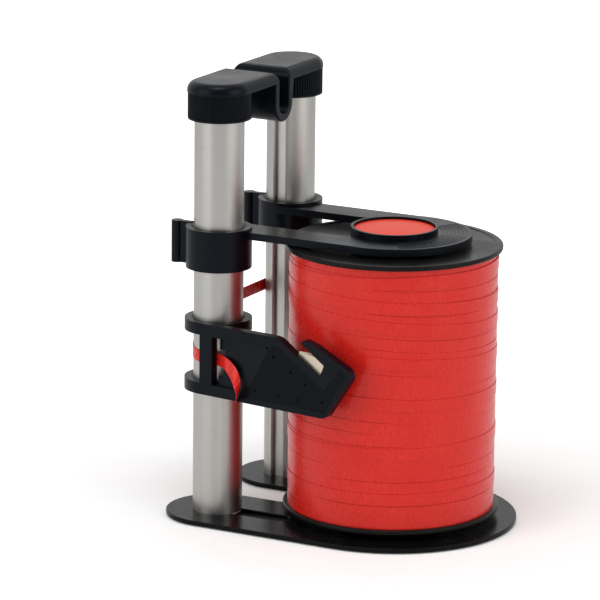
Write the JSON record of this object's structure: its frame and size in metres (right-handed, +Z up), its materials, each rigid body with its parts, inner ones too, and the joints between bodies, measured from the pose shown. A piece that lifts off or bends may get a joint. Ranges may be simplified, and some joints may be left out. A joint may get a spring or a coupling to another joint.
{
  "type": "ribbon spool dispenser",
  "caption": "Counter stand for a wound ribbon spool, with a spool turning on a hub, a sliding top retainer on tube columns, a cutter on one column and a carrying bridge.",
  "frame": {"origin": "on the spool's axis, on the surface that the stand rests on", "axes": "+Z up along the spool's axis, +X from the columns towards the spool, the cutter's column at -Y"},
  "size_m": [0.1698, 0.1318, 0.224],
  "materials": {
    "black_coated_steel": "gloss",
    "anodised_aluminium": "satin",
    "black_moulding": "satin",
    "spool_plastic": "satin",
    "natural_nylon": "satin",
    "red_plastic": "gloss",
    "red_ribbon": "satin",
    "zinc_steel": "satin",
    "blade_steel": "ground",
    "pad_rubber": "matte"
  },
  "bodies": {
    "root": {"base_plate": "black_coated_steel", "base_pads": "pad_rubber", "front_column": "anodised_aluminium", "rear_column": "anodised_aluminium", "column_foot_plugs": "natural_nylon", "clamp_washers": "zinc_steel", "column_screws": "zinc_steel", "spindle_hub": "black_moulding", "spindle_screw": "zinc_steel", "glide_washer": "natural_nylon", "top_bridge": "black_moulding", "ribbon_web": "red_ribbon"},
    "spool": {"spool_core": "spool_plastic", "spool_bottom_flange": "spool_plastic", "spool_top_flange": "spool_plastic", "ribbon_pack": "red_ribbon"},
    "retainer": {"spool_retainer": "black_moulding", "collar_bushes": "natural_nylon", "retainer_spigot": "black_moulding", "spigot_screw": "zinc_steel", "hub_badge": "red_plastic"},
    "cutter_slider": {"cutter_liners": "natural_nylon", "ribbon_wrap": "red_ribbon"},
    "cutter": {"cutter_body": "black_moulding", "cutter_cover": "black_moulding", "cutter_blade": "blade_steel", "cutter_rivets": "zinc_steel", "ribbon_tail": "red_ribbon"}
  },
  "joints": [
    {"name": "spool_turn", "type": "hinge", "parent": "root", "child": "spool", "pos_m": [0, 0, 0.075], "axis": [0, 0, 1], "continuous": true},
    {"name": "retainer_slide", "type": "slide", "parent": "root", "child": "retainer", "axis": [0, 0, 1], "range_m": [0, 0.052]},
    {"name": "cutter_slide", "type": "slide", "parent": "root", "child": "cutter_slider", "axis": [0, 0, 1], "range_m": [-0.05, 0.0235]},
    {"name": "cutter_swing", "type": "hinge", "parent": "cutter_slider", "child": "cutter", "pos_m": [-0.079, -0.038, 0.085], "axis": [0, 0, 1], "range_deg": [-75, 4]}
  ]
}
